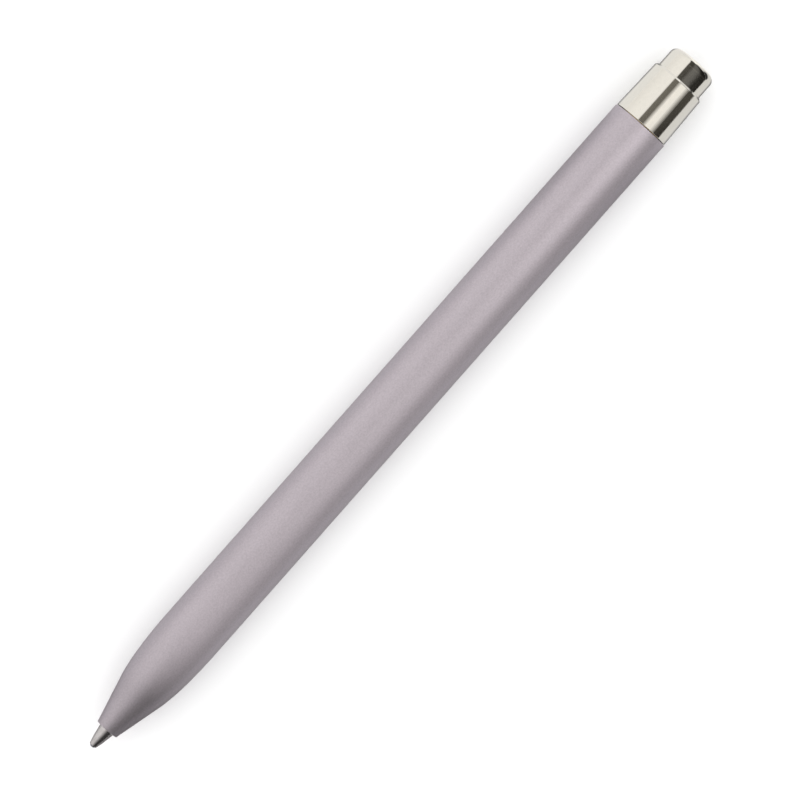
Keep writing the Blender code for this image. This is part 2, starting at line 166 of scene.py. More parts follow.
# Writing ball and the refill's cone, whose rim keeps the ball in
BALL_RADIUS = 0.6
RIM_FRONT = 0.33
RIM_BORE = 0.57
RIM_BORE_EDGE = 0.02
RIM_RADIUS = 0.64
RIM_EDGE = 0.03
CONE_MIDDLE = 1.5
CONE_MIDDLE_RADIUS = 0.95
CONE_MIDDLE_EDGE = 0.3
TIP_SHOULDER = 3.5
TIP_SHOULDER_EDGE = 0.2
TIP_RADIUS = 1.32
TIP_REAR = 14.0
TIP_BORE = 0.8
TIP_BORE_START = 2.2
TIP_THROAT = 0.3
TIP_THROAT_END = 1.7
SOCKET_FLOOR = 1.14
SOCKET_WALL_END = 0.85
SOCKET_RADIUS = 0.63

# Refill behind its cone: brass neck, tube, ink and the grease that follows it
NECK_FRONT = 10.8
NECK_RADIUS = 1.65
NECK_SOCKET = 1.37
NECK_SOCKET_EDGE = 0.04
NECK_SOCKET_END = 14.1
NECK_BORE = 0.9
NECK_FLANGE = 21.1
NECK_FLANGE_FILLET = 0.08
NECK_FLANGE_REAR = 22.1
NECK_PLUG = 2.54
NECK_REAR = 25.0
TUBE_FRONT = 22.2
TUBE_REAR = 92.0
TUBE_RADIUS = 2.95
TUBE_EDGE = 0.12
TUBE_BORE = 2.6
INK_FRONT = 2.4
INK_THREAD = 0.72
INK_COLUMN_FRONT = 25.1
INK_RADIUS = 2.5
INK_REAR = 78.0
FOLLOWER_FRONT = 78.1
FOLLOWER_FRONT_EDGE = 0.3
FOLLOWER_REAR = 82.1
FOLLOWER_REAR_EDGE = 0.6

# Return spring, whose closed turns rise by a little more than the wire's thickness
SPRING_FRONT = 9.6
SPRING_REAR = 21.0
SPRING_RADIUS = 2.05
SPRING_TURNS = 9
WIRE_RADIUS = 0.2
CLOSED_TURNS = 1.0
CLOSED_RISE = 2.1 * WIRE_RADIUS

# The range that a noise texture's values mostly keep to
NOISE_LOW = 0.3
NOISE_HIGH = 0.7

# Camera straight above the pen, turned so that the pen lies across the picture
CAMERA_DISTANCE = 0.91
CAMERA_TURN = math.radians(48.57)
CAMERA_AIM = (0.001154, -0.000386)
LENS = 270.72

# Pale floor in an even white light
FLOOR_SIZE = 12.0
FLOOR_DROP = 0.02
FLOOR_LEVEL = AXIS_HEIGHT - (BARREL_RADIUS + FLOOR_DROP) * MM
FLOOR_PATCH = 300.0
DAYLIGHT = 1.3

# Tent that the metals mirror, a half cylinder whose columns lie closest at the pen's middle
TENT_RADIUS = 0.6
TENT_ROWS = 361
TENT_COLUMNS = 401
TENT_SPACING = 0.05
TENT_REACH = 5.5
HORIZON = 90.0

# Soft box of the tent. Here and below, a pair with a plural name is where a change starts and ends.
SIDE_BOX = 1.08
SIDE_DIM = 0.083
SIDE_DIM_TILTS = (45, 90)
TOP_BOX = 0.95
TOP_TILTS = (-24, -19)
TIP_SHARE = 0.58
TIP_PLACES = (-0.8, 0.0)
FAR_DIM = 0.85
FAR_PLACES = (0.8, 2.0)

# Dark flag of the tent
FLAG_TIP_EDGE = 8.0
FLAG_REAR_EDGE = 94.0
FLAG_FADE = 33.0
FLAG_PLACES = (-0.17, -0.09)
FLAG_GLOW = 0.05

# Black sheet of the tent, with the lighter stretch that the collar mirrors and the window's glint
SHEET_PLACES = (0.048, 0.104)
SHEET_EDGE = -18.3
SHEET_FADE = 1.5
SHEET_SWING = 36
SHEET_SWING_PLACES = (0.2, 2.5)
SHEET_GLOW = 0.07
SHEET_DUSK = 0.75
SHEET_TINT = (1.0, 0.95, 0.85)
DUSK_TILTS = (-20, 60)
COLLAR_SHADE = 0.134
COLLAR_SHADE_STARTS = (0.117, 0.127)
COLLAR_SHADE_ENDS = (0.150, 0.160)
COLLAR_DUSK = 0.55
WINDOW_GLINT = 0.11
GLINT_STARTS = (-1, 17)
GLINT_ENDS = (31, 62)

# Cards on the floor at the pen's two sides, lit along X from the nose to beyond the button
CARD_ROWS = 61
CARD_LIFT = 0.0003
LEFT_CARD = {"nose": 0.62, "middle": 0.73, "joint": 0.55, "rear": 0.98, "beyond": 0.98}
RIGHT_CARD = {"nose": 0.30, "middle": 0.64, "joint": 0.50, "rear": 0.83, "beyond": 0.04}
MIDDLE_PLACES = (-0.070, -0.045)
JOINT_PLACES = (0.015, 0.050)
REAR_PLACES = (0.0540, 0.0575)
BEYOND_PLACES = (0.0775, 0.0815)
BEYOND_CORNER = 0.066
BEYOND_SLOPES = (0.45, 0.70)
LEAST_RUN = 0.001
SHADOW_WIDTHS = (0.0045, 0.0105)
SHADOW_ENDS = (0.069, 0.072)
SHADOW_DEPTH = 0.9
FLOOR_TINT = (1.0, 1.01, 1.025)

# Key lamp for the barrel
KEY_TILT = 27.0
KEY_PLACE = 0.264
KEY_DISTANCE = 0.58
KEY_SIZE = (0.184, 0.75)
KEY_POWER = 1.65

# Window for the collar: lamps over one another, each with its two edges in tilt a step further in
WINDOW_LAMPS = 4
WINDOW_LOW = 3.5
WINDOW_LOW_STEP = 3.8
WINDOW_HIGH = 57.0
WINDOW_HIGH_STEP = 5.8
WINDOW_PLACE = 0.123
WINDOW_DISTANCE = 0.5
WINDOW_LENGTH = 0.12
WINDOW_LIGHT = 0.87


def lay(station, across, up):
    """Stations and offsets from the axis, in millimetres, as points of the shared frame in metres."""
    station, across, up = np.broadcast_arrays(station, across, up)
    x = (station - PEN_LENGTH / 2) * MM
    return np.stack([x, across * MM, up * MM + AXIS_HEIGHT], axis=-1)


def skin(name, grid, wrap_rows):
    """Quads over a grid of points that closes round its columns and, where asked, round its rows too.

    Rows that have shrunk to a point are welded into a pole.
    """
    rows, columns = grid.shape[:2]
    row = np.arange(rows if wrap_rows else rows - 1)[:, None]
    column = np.arange(columns)[None, :]
    next_row, next_column = (row + 1) % rows, (column + 1) % columns
    corners = [
        row * columns + column,
        row * columns + next_column,
        next_row * columns + next_column,
        next_row * columns + column,
    ]
    faces = np.stack(corners, axis=-1).reshape(-1, 4)
    mesh = bpy.data.meshes.new(name)
    mesh.vertices.add(rows * columns)
    mesh.vertices.foreach_set("co", grid.astype(np.float32).ravel())
    mesh.loops.add(faces.size)
    mesh.loops.foreach_set("vertex_index", faces.ravel().astype(np.int32))
    mesh.polygons.add(len(faces))
    mesh.polygons.foreach_set("loop_start", np.arange(0, faces.size, 4, dtype=np.int32))
    mesh.update(calc_edges=True)
    welded = bmesh.new()
    welded.from_mesh(mesh)
    bmesh.ops.remove_doubles(welded, verts=welded.verts, dist=WELD)
    bmesh.ops.dissolve_degenerate(welded, edges=welded.edges, dist=WELD)
    bmesh.ops.recalc_face_normals(welded, faces=welded.faces)
    welded.to_mesh(mesh)
    welded.free()
    mesh.polygons.foreach_set("use_smooth", np.ones(len(mesh.polygons), dtype=bool))
    mesh.set_sharp_from_angle(angle=SHARP_ANGLE)
    piece = bpy.data.objects.new(name, mesh)
    bpy.context.scene.collection.objects.link(piece)
    return piece


def rounded(corners):
    """A closed outline through (station, radius, rounding) corners.

    Each corner gives way to the circular arc that touches both of its sides at the rounding's distance.
    A point follows a little way along each side, so that the flats keep their own normals.
    """
    corners = np.array(corners, float)
    outline = []
    for before, here, after in zip(np.roll(corners, 1, 0), corners, np.roll(corners, -1, 0)):
        corner, rounding = here[:2], here[2]
        if rounding == 0:
            outline.append(corner)
            continue
        back, ahead = before[:2] - corner, after[:2] - corner
        back, ahead = back / np.linalg.norm(back), ahead / np.linalg.norm(ahead)
        half_angle = math.acos(np.dot(back, ahead)) / 2
        middle = (back + ahead) / np.linalg.norm(back + ahead)
        centre = corner + middle * rounding / math.cos(half_angle)
        first, last = corner + rounding * back - centre, corner + rounding * ahead - centre
        sweep = math.pi - 2 * half_angle
        t = np.linspace(0, 1, ARC_STEPS + round(ARC_STEPS_PER_MM * rounding) + 1)[:, None]
        arc = (np.sin((1 - t) * sweep) * first + np.sin(t * sweep) * last) / math.sin(sweep)
        held = min(HELD_SHARE * rounding, HELD_MOST)
        outline += [centre + first + held * back, *(centre + arc), centre + last + held * ahead]
    return np.array(outline)


def turned(name, outline, around=AROUND, relief=None):
    """A surface of revolution: the outline's (s, r) at the angle a lies r sin a across and -r cos a up.

    relief gives what is added to the radius at each station and angle.
    """
    angle = np.linspace(0, 2 * np.pi, around, endpoint=False)[None, :]
    station, radius = outline[:, 0, None], outline[:, 1, None]
    if relief is not None:
        radius = radius + relief(station, angle)
    return skin(name, lay(station, radius * np.sin(angle), -radius * np.cos(angle)), wrap_rows=True)


def helix_ridge(station, angle, start):
    """Height share of a right-hand thread: a trapezium across the ridge, which moves a pitch a turn.

    The ridge fades in over its first quarter turn and out over its last, and is 0 beyond them.
    """
    turns = (station - start) / THREAD_PITCH
    phase = (turns - angle / (2 * np.pi) + 0.5) % 1.0 - 0.5
    flank = (THREAD_BASE / 2 - np.abs(phase) * THREAD_PITCH) / (THREAD_BASE / 2 - THREAD_CREST / 2)
    wound = turns - phase
    fade = np.clip(np.minimum(wound, THREAD_TURNS - wound) / THREAD_FADE, 0, 1)
    return np.clip(flank, 0, 1) * fade


def male_thread(station, angle):
    """The bush's ridge, which stands out of its root."""
    return MALE_HEIGHT * helix_ridge(station, angle, THREAD_START)


def female_thread(station, angle):
    """The barrel's ridge, which stands into its bore half a pitch behind the bush's."""
    return -FEMALE_HEIGHT * helix_ridge(station, angle, THREAD_START + THREAD_PITCH / 2)


def thread_run(start, end, radius):
    """A finely divided straight run of an outline, as corners with no rounding."""
    return [(station, radius, 0) for station in np.linspace(start, end, THREAD_ROWS)]


def nose_curve():
    """The barrel from cone to cylinder: the quadratic curve whose corner lies on both tangents."""
    t = np.linspace(0, 1, NOSE_STEPS + 1)
    station = (1 - t) ** 2 * CONE_END + 2 * t * (1 - t) * NOSE_CORNER + t**2 * NOSE_END
    radius = (1 - t) ** 2 * CONE_END_RADIUS + (1 - (1 - t) ** 2) * BARREL_RADIUS
    return np.stack([station, radius, 0 * t], axis=1)


def make_barrel():
    """The turned tube: conical nose, long cylinder, and stepped bores with the thread at the rear."""
    slope = (CONE_END_RADIUS - MOUTH_RADIUS) / (CONE_END - MOUTH)
    outline = rounded([
        (MOUTH, MOUTH_RADIUS, EDGE),
        (MOUTH + CONE_HELD, MOUTH_RADIUS + CONE_HELD * slope, 0),
        *nose_curve(),
        (NOSE_END + CYLINDER_HELD, BARREL_RADIUS, 0),
        (BARREL_REAR, BARREL_RADIUS, REAR_EDGE),
        (BARREL_REAR, THREAD_BORE, THREAD_BORE_EDGE),
        *thread_run(FEMALE_REAR, FEMALE_FRONT, THREAD_BORE),
        (THREAD_BORE_START, THREAD_BORE, EDGE),
        (THREAD_BORE_START, SLEEVE_BORE, EDGE),
        (SLEEVE_BORE_START, SLEEVE_BORE, EDGE),
        (SLEEVE_BORE_START, REFILL_BORE, EDGE),
        (REFILL_BORE_START, REFILL_BORE, EDGE),
        (REFILL_BORE_START, SPRING_BORE, EDGE),
        (SPRING_SEAT, SPRING_BORE, EDGE),
        (SPRING_SEAT, MOUTH_BORE, EDGE),
        (MOUTH, MOUTH_BORE, MOUTH_BORE_EDGE),
    ])
    return turned("barrel_tube", outline, relief=female_thread)


def make_collar():
    """The polished ring behind the barrel, a little tapered, with a chamfered rear rim."""
    return turned("collar_ring", rounded([
        (COLLAR_FRONT, COLLAR_LIP_BORE, FINE_EDGE),
        (COLLAR_FRONT, COLLAR_FRONT_RADIUS, COLLAR_FRONT_EDGE),
        (COLLAR_REAR - COLLAR_CHAMFER, COLLAR_REAR_RADIUS, COLLAR_CHAMFER_EDGE),
        (COLLAR_REAR, COLLAR_REAR_RADIUS - COLLAR_CHAMFER_DROP, COLLAR_CHAMFER_EDGE),
        (COLLAR_REAR, COLLAR_BORE, COLLAR_BORE_EDGE),
        (COLLAR_LIP_REAR, COLLAR_BORE, FINE_EDGE),
        (COLLAR_LIP_REAR, COLLAR_LIP_BORE, FINE_EDGE),
    ]))


def make_button():
    """The polished button: a cup with a well rounded edge.

    Its end falls away from its middle by the crown's height times the square of the radius's share.
    """
    radius = np.linspace(BUTTON_RADIUS - BUTTON_EDGE, 0, CROWN_STEPS + 1)[1:]
    station = PEN_LENGTH - BUTTON_CROWN * (radius / BUTTON_RADIUS) ** 2
    return turned("button_cap", rounded([
        (BUTTON_FRONT, BUTTON_BORE, FINE_EDGE),
        (BUTTON_FRONT, BUTTON_RADIUS, EDGE),
        (PEN_LENGTH - BUTTON_CROWN, BUTTON_RADIUS, BUTTON_EDGE),
        *np.stack([station, radius, 0 * radius], axis=1),
        (BUTTON_BORE_END, 0, 0),
        (BUTTON_BORE_END, BUTTON_BORE, EDGE),
    ]))


def make_tip():
    """The refill's cone: a rim rolled in over the ball, two straight cones and the stem behind them."""
    outline = rounded([
        (RIM_FRONT, RIM_BORE, RIM_BORE_EDGE),
        (RIM_FRONT, RIM_RADIUS, RIM_EDGE),
        (CONE_MIDDLE, CONE_MIDDLE_RADIUS, CONE_MIDDLE_EDGE),
        (TIP_SHOULDER, TIP_RADIUS, TIP_SHOULDER_EDGE),
        (TIP_REAR, TIP_RADIUS, FINE_EDGE),
        (TIP_REAR, TIP_BORE, FINE_EDGE),
        (TIP_BORE_START, TIP_BORE, FINE_EDGE),
        (TIP_THROAT_END, TIP_THROAT, FINE_EDGE),
        (SOCKET_FLOOR, TIP_THROAT, 0),
        (SOCKET_WALL_END, SOCKET_RADIUS, 0),
        (BALL_RADIUS, SOCKET_RADIUS, 0),
    ])
    return turned("tip_cone", outline, AROUND_TIP)


def make_ball():
    """A sphere: the angle v from the front pole gives R (1 - cos v) as station and R sin v as radius."""
    v = np.linspace(0, np.pi, BALL_STEPS + 1)
    radius = BALL_RADIUS * np.sin(v)
    radius[[0, -1]] = 0
    outline = np.stack([BALL_RADIUS * (1 - np.cos(v)), radius], axis=1)
    return turned("ball_round", outline, AROUND_SMALL)


def make_bush():
    """The brass bush: threaded front, groove for the seal ring, and the flange that traps the collar."""
    outline = rounded([
        (BUSH_FRONT, BUSH_BORE, EDGE),
        (BUSH_FRONT, MALE_ROOT, EDGE),
        *thread_run(MALE_FRONT, MALE_REAR, MALE_ROOT),
        (GROOVE_FRONT, MALE_ROOT, FINE_EDGE),
        (GROOVE_FRONT, GROOVE_RADIUS, FINE_EDGE),
        (GROOVE_REAR, GROOVE_RADIUS, FINE_EDGE),
        (GROOVE_REAR, BUSH_NECK, FINE_EDGE),
        (FLANGE_FRONT, BUSH_NECK, BUSH_NECK_EDGE),
        (FLANGE_FRONT, FLANGE_RADIUS, FINE_EDGE),
        (FLANGE_REAR, FLANGE_RADIUS, FINE_EDGE),
        (FLANGE_REAR, BUSH_BORE, EDGE),
    ])
    return turned("bush_thread", outline, relief=male_thread)


def make_seal():
    """A torus: a circle of the section's radius carried round the axis."""
    v = np.linspace(0, 2 * np.pi, SEAL_STEPS, endpoint=False)
    station = SEAL_STATION + SEAL_SECTION * np.cos(v)
    radius = SEAL_RADIUS + SEAL_SECTION * np.sin(v)
    return turned("seal_loop", np.stack([station, radius], axis=1))


def make_spring():
    """Round wire carried along a helix whose first and last turns lie closed against the next one.

    The section's circle stands square to the path, between the radial direction and its cross product
    with the tangent. The ends are closed by rows that shrink to a point.
    """
    turn = np.linspace(0, SPRING_TURNS, SPRING_TURNS * COIL_STEPS + 1)
    room = SPRING_REAR - SPRING_FRONT - 2 * WIRE_RADIUS
    closed = CLOSED_TURNS * CLOSED_RISE
    knots = [0, CLOSED_TURNS, SPRING_TURNS - CLOSED_TURNS, SPRING_TURNS]
    station = SPRING_FRONT + WIRE_RADIUS + np.interp(turn, knots, [0, closed, room - closed, room])
    angle = 2 * np.pi * turn
    radial = np.stack([0 * angle, np.sin(angle), -np.cos(angle)], axis=1)
    path = SPRING_RADIUS * radial
    path[:, 0] = station
    tangent = np.gradient(path, axis=0)
    tangent /= np.linalg.norm(tangent, axis=1, keepdims=True)
    side = np.cross(tangent, radial)
    radial = np.cross(side, tangent)
    v = np.linspace(0, 2 * np.pi, WIRE_STEPS, endpoint=False)[None, :, None]
    rings = path[:, None] + WIRE_RADIUS * (np.cos(v) * radial[:, None] + np.sin(v) * side[:, None])
    first = np.broadcast_to(path[0], rings[:1].shape)
    last = np.broadcast_to(path[-1], rings[:1].shape)
    rings = np.concatenate([first, rings, last])
    return skin("spring_wire", lay(rings[..., 0], rings[..., 1], rings[..., 2]), wrap_rows=False)


def make_refill_tube():
    """The drawn tube that holds the ink, with its two cut ends rolled in a little."""
    return turned("refill_body", rounded([
        (TUBE_FRONT, TUBE_BORE, FINE_EDGE),
        (TUBE_FRONT, TUBE_RADIUS, TUBE_EDGE),
        (TUBE_REAR, TUBE_RADIUS, TUBE_EDGE),
        (TUBE_REAR, TUBE_BORE, FINE_EDGE),
    ]))


def make_refill_neck():
    """The brass front of the refill, with the flange that the spring pushes on."""
    return turned("refill_front", rounded([
        (NECK_FRONT, NECK_SOCKET, NECK_SOCKET_EDGE),
        (NECK_FRONT, NECK_RADIUS, EDGE),
        (NECK_FLANGE, NECK_RADIUS, NECK_FLANGE_FILLET),
        (NECK_FLANGE, TUBE_RADIUS, EDGE),
        (NECK_FLANGE_REAR, TUBE_RADIUS, FINE_EDGE),
        (NECK_FLANGE_REAR, NECK_PLUG, FINE_EDGE),
        (NECK_REAR, NECK_PLUG, EDGE),
        (NECK_REAR, NECK_BORE, EDGE),
        (NECK_SOCKET_END, NECK_BORE, FINE_EDGE),
        (NECK_SOCKET_END, NECK_SOCKET, FINE_EDGE),
    ]))


def make_ink():
    """The ink: a thread of it in the cone and neck, and the column in the tube."""
    outline = rounded([
        (INK_FRONT, 0, 0),
        (INK_FRONT, INK_THREAD, EDGE),
        (INK_COLUMN_FRONT, INK_THREAD, EDGE),
        (INK_COLUMN_FRONT, INK_RADIUS, EDGE),
        (INK_REAR, INK_RADIUS, EDGE),
        (INK_REAR, 0, 0),
    ])
    return turned("ink_body", outline, AROUND_SMALL)


def make_follower():
    """The grease that follows the ink, with rounded edges."""
    outline = rounded([
        (FOLLOWER_FRONT, 0, 0),
        (FOLLOWER_FRONT, INK_RADIUS, FOLLOWER_FRONT_EDGE),
        (FOLLOWER_REAR, INK_RADIUS, FOLLOWER_REAR_EDGE),
        (FOLLOWER_REAR, 0, 0),
    ])
    return turned("grease_body", outline, AROUND_SMALL)


class Finish:
    """A procedural material on Object coordinates, with helpers that add its nodes."""

    def __init__(self, name, metallic, specular=0.5):
        self.material = bpy.data.materials.new(name)
        self.material.use_nodes = True
        self.tree = self.material.node_tree
        self.shader = self.tree.nodes["Principled BSDF"]
        self.shader.inputs["Metallic"].default_value = metallic
        self.shader.inputs["Specular IOR Level"].default_value = specular
        self.place = self.tree.nodes.new("ShaderNodeTexCoord").outputs["Object"]

    def noise(self, across, along=None, detail=2.0, rough=0.5):
        """Noise in patches so many millimetres across, and so many along the pen if that differs."""
        along = across if along is None else along
        fit = self.tree.nodes.new("ShaderNodeMapping")
        fit.inputs["Scale"].default_value = (1 / (along * MM), 1 / (across * MM), 1 / (across * MM))
        self.tree.links.new(self.place, fit.inputs["Vector"])
        made = self.tree.nodes.new("ShaderNodeTexNoise")
        made.inputs["Scale"].default_value = 1.0
        made.inputs["Detail"].default_value = detail
        made.inputs["Roughness"].default_value = rough
        self.tree.links.new(fit.outputs["Vector"], made.inputs["Vector"])
        return made.outputs["Fac"]

    def from_axis(self):
        """The distance from the pen's axis in millimetres."""
        fit = self.tree.nodes.new("ShaderNodeMapping")
        fit.inputs["Location"].default_value = (0, 0, -AXIS_HEIGHT / MM)
        fit.inputs["Scale"].default_value = (0, 1 / MM, 1 / MM)
        self.tree.links.new(self.place, fit.inputs["Vector"])
        length = self.tree.nodes.new("ShaderNodeVectorMath")
        length.operation = "LENGTH"
        self.tree.links.new(fit.outputs["Vector"], length.inputs[0])
        return length.outputs["Value"]

    def rings(self, distance, width):
        """Noise in rings of that width in millimetres along the distance."""
        made = self.tree.nodes.new("ShaderNodeTexNoise")
        made.noise_dimensions = "1D"
        made.inputs["Scale"].default_value = 1 / width
        self.tree.links.new(distance, made.inputs["W"])
        return made.outputs["Fac"]

    def level(self, share, low, high, start=NOISE_LOW, end=NOISE_HIGH):
        """A value that runs from low to high as the share runs from start to end."""
        fit = self.tree.nodes.new("ShaderNodeMapRange")
        fit.inputs["From Min"].default_value = start
        fit.inputs["From Max"].default_value = end
        fit.inputs["To Min"].default_value = low
        fit.inputs["To Max"].default_value = high
        self.tree.links.new(share, fit.inputs["Value"])
        return fit.outputs["Result"]

    def combine(self, operation, first, second):
        """The two values added or multiplied."""
        made = self.tree.nodes.new("ShaderNodeMath")
        made.operation = operation
        self.tree.links.new(first, made.inputs[0])
        self.tree.links.new(second, made.inputs[1])
        return made.outputs["Value"]

    def colour(self, share, low, high):
        """The base colour runs from low to high with the share."""
        ramp = self.tree.nodes.new("ShaderNodeValToRGB")
        start, end = ramp.color_ramp.elements
        start.position, start.color = NOISE_LOW, (*low, 1)
        end.position, end.color = NOISE_HIGH, (*high, 1)
        self.tree.links.new(share, ramp.inputs["Fac"])
        self.tree.links.new(ramp.outputs["Color"], self.shader.inputs["Base Color"])

    def roughness(self, value):
        """The roughness follows the value."""
        self.tree.links.new(value, self.shader.inputs["Roughness"])

    def bump(self, share, height):
        """Relief of that height in millimetres, laid over any relief that is there already."""
        made = self.tree.nodes.new("ShaderNodeBump")
        made.inputs["Strength"].default_value = 1.0
        made.inputs["Distance"].default_value = height * MM
        self.tree.links.new(share, made.inputs["Height"])
        normal = self.shader.inputs["Normal"]
        if normal.is_linked:
            self.tree.links.new(normal.links[0].from_socket, made.inputs["Normal"])
        self.tree.links.new(made.outputs["Normal"], normal)


def satin_aluminium():
    """Blasted and anodised: an even mauve grey, fine matt grain and faint clouds."""
    made = Finish("satin_aluminium", metallic=1.0)
    grain = made.noise(across=0.26, detail=3.0, rough=0.6)
    clouds = made.noise(across=2.5, along=9.0)
    cloud_shade = made.level(clouds, low=0.275, high=0.325)
    grain_shade = made.level(grain, low=0.025, high=0.375)
    shade = made.combine("ADD", cloud_shade, grain_shade)
    made.colour(shade, low=(0.495, 0.445, 0.474), high=(0.615, 0.554, 0.590))
    made.roughness(made.level(grain, low=0.47, high=0.53))
    made.bump(grain, height=0.0040)
    return made.material


def plated(name):
    """Nickel plating with a faint mottle. Gives the finish and the low roughness of its haze."""
    made = Finish(name, metallic=1.0)
    mottle = made.noise(across=0.45, detail=1.0)
    haze = made.noise(across=0.15, detail=2.0)
    made.colour(mottle, low=(0.750, 0.714, 0.640), high=(0.770, 0.733, 0.657))
    made.bump(mottle, height=0.0006)
    return made, made.level(haze, low=0.05, high=0.10)


def polished_nickel():
    """Plated and polished: warm and nearly a mirror."""
    made, haze = plated("polished_nickel")
    made.roughness(haze)
    return made.material


def spun_nickel():
    """The same plating on the button, whose end is spun inside the rounded edge: satin, with rings."""
    made, haze = plated("spun_nickel")
    from_axis = made.from_axis()
    rings = made.rings(from_axis, width=0.07)
    spun = made.level(from_axis, low=1.0, high=0.0, start=SPUN_RADIUS, end=SPUN_RADIUS + SPUN_FADE)
    satin = made.combine("MULTIPLY", spun, made.level(rings, low=0.18, high=0.30))
    made.roughness(made.combine("ADD", haze, satin))
    made.bump(made.combine("MULTIPLY", spun, rings), height=0.0012)
    return made.material


def turned_brass():
    """Lathe-cut: fine rings from the tool's feed, a little tarnish in the clouds."""
    made = Finish("turned_brass", metallic=1.0)
    rings = made.noise(across=40.0, along=0.06, detail=1.0)
    clouds = made.noise(across=1.5)
    made.colour(clouds, low=(0.66, 0.47, 0.20), high=(0.76, 0.57, 0.27))
    made.roughness(made.level(rings, low=0.22, high=0.36))
    made.bump(rings, height=0.002)
    return made.material


def nickel_silver():
    """Lathe-cut and drawn bright: faint rings on a pale grey metal."""
    made = Finish("nickel_silver", metallic=1.0)
    rings = made.noise(across=20.0, along=0.05, detail=1.0)
    clouds = made.noise(across=0.6)
    made.colour(clouds, low=(0.600, 0.567, 0.556), high=(0.660, 0.624, 0.612))
    made.roughness(made.level(rings, low=0.12, high=0.22))
    made.bump(rings, height=0.0006)
    return made.material


def drawn_steel():
    """Drawn through a die: long faint lines along the pen."""
    made = Finish("drawn_steel", metallic=1.0)
    lines = made.noise(across=0.08, along=6.0, detail=2.0)
    clouds = made.noise(across=2.0, along=8.0)
    made.colour(clouds, low=(0.54, 0.54, 0.55), high=(0.63, 0.63, 0.64))
    made.roughness(made.level(lines, low=0.24, high=0.40))
    made.bump(lines, height=0.001)
    return made.material


def carbide():
    """Ground carbide: dark and bright, with the fine pits that carry the ink."""
    made = Finish("carbide", metallic=1.0)
    pits = made.noise(across=0.04, detail=1.0)
    made.colour(pits, low=(0.36, 0.36, 0.38), high=(0.46, 0.46, 0.48))
    made.roughness(made.level(pits, low=0.12, high=0.24))
    made.bump(pits, height=0.0008)
    return made.material


def moulded(name, shades, roughness, grain_size=0.12):
    """Moulded plastic: a fine even grain and a slight change of shade, each between two values."""
    made = Finish(name, metallic=0.0)
    grain = made.noise(across=grain_size, detail=3.0)
    clouds = made.noise(across=1.2, along=3.0)
    made.colour(clouds, *shades)
    made.roughness(made.level(grain, *roughness))
    made.bump(grain, height=0.0015)
    return made


def white_acetal():
    """Natural acetal: ivory white and a little waxy."""
    shades = ((0.78, 0.77, 0.73), (0.83, 0.82, 0.79))
    return moulded("white_acetal", shades, roughness=(0.42, 0.55)).material


def black_acetal():
    """Acetal dyed black."""
    shades = ((0.020, 0.020, 0.023), (0.034, 0.034, 0.038))
    return moulded("black_acetal", shades, roughness=(0.40, 0.55)).material


def grey_plastic():
    """The refill's plain grey plug."""
    shades = ((0.29, 0.30, 0.32), (0.35, 0.36, 0.38))
    return moulded("grey_plastic", shades, roughness=(0.42, 0.56)).material


def black_rubber():
    """Matt rubber with a finer grain."""
    shades = ((0.014, 0.014, 0.014), (0.026, 0.026, 0.026))
    return moulded("black_rubber", shades, roughness=(0.72, 0.90), grain_size=0.08).material


def black_ink():
    """Thick glossy ink, faintly blue, with soft streaks."""
    shades = ((0.006, 0.006, 0.010), (0.014, 0.014, 0.020))
    return moulded("black_ink", shades, roughness=(0.15, 0.28), grain_size=0.4).material


def clear_grease():
    """Clear grease: glossy, faintly yellow, with soft streaks."""
    shades = ((0.58, 0.56, 0.46), (0.66, 0.64, 0.54))
    made = moulded("clear_grease", shades, roughness=(0.18, 0.3), grain_size=0.5)
    made.shader.inputs["Transmission Weight"].default_value = 0.3
    return made.material


def make_finishes():
    """The finish of each material slot. Its maker has the slot's name."""
    makers = (
        satin_aluminium,
        polished_nickel,
        turned_brass,
        nickel_silver,
        drawn_steel,
        carbide,
        white_acetal,
        black_acetal,
        grey_plastic,
        black_rubber,
        black_ink,
        clear_grease,
    )
    return {maker.__name__: maker() for maker in makers}


def fit(piece, body, node, slot, finish):
    """The piece takes the place of a solid, moves with its body and wears the finish it is given; the
    slot is not used.
    """
    piece.data.materials.append(finish)
    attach(piece, body)
    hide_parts(node)


def fit_spring(finish):
    """The spring stands on the barrel's seat."""
    spring = make_spring()
    spring.data.materials.append(finish)
    front, rear = lay(np.array([SPRING_FRONT, SPRING_REAR]), 0, 0).tolist()
    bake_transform(spring)
    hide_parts("return_spring")


def dress_pen():
    """New pieces in the place of solids, and finishes for the solids that stay."""
    finishes = make_finishes()
    new_pieces = [
        (make_barrel(), "barrel", "barrel", "satin_aluminium"),
        (make_collar(), "collar", "collar", "polished_nickel"),
        (make_button(), "button", "push_button", "polished_nickel"),
        (make_bush(), "collar", "threaded_bush", "turned_brass"),
        (make_seal(), "seal", "seal_ring", "black_rubber"),
        (make_tip(), "refill", "refill_tip", "nickel_silver"),
        (make_ball(), "ball", "writing_ball", "carbide"),
        (make_refill_tube(), "refill", "refill_tube", "drawn_steel"),
        (make_refill_neck(), "refill", "refill_neck", "turned_brass"),
        (make_ink(), "refill", "ink_column", "black_ink"),
        (make_follower(), "refill", "ink_follower", "clear_grease"),
    ]
    for piece, body, node, slot in new_pieces:
        finish = spun_nickel() if node == "push_button" else finishes[slot]
        fit(piece, body, node, slot, finish)
    fit_spring(finishes["drawn_steel"])
    kept_solids = {
        "cam_sleeve": "white_acetal",
        "plunger": "white_acetal",
        "rotor": "black_acetal",
        "refill_crown": "grey_plastic",
    }
    for node, slot in kept_solids.items():
        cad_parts[node].material_slots[0].material = finishes[slot]


def smooth(low, high, value):
    """0 below low, 1 above high, and the cubic between them that is level at both ends."""
    t = np.clip((value - low) / (high - low), 0, 1)
    return t * t * (3 - 2 * t)


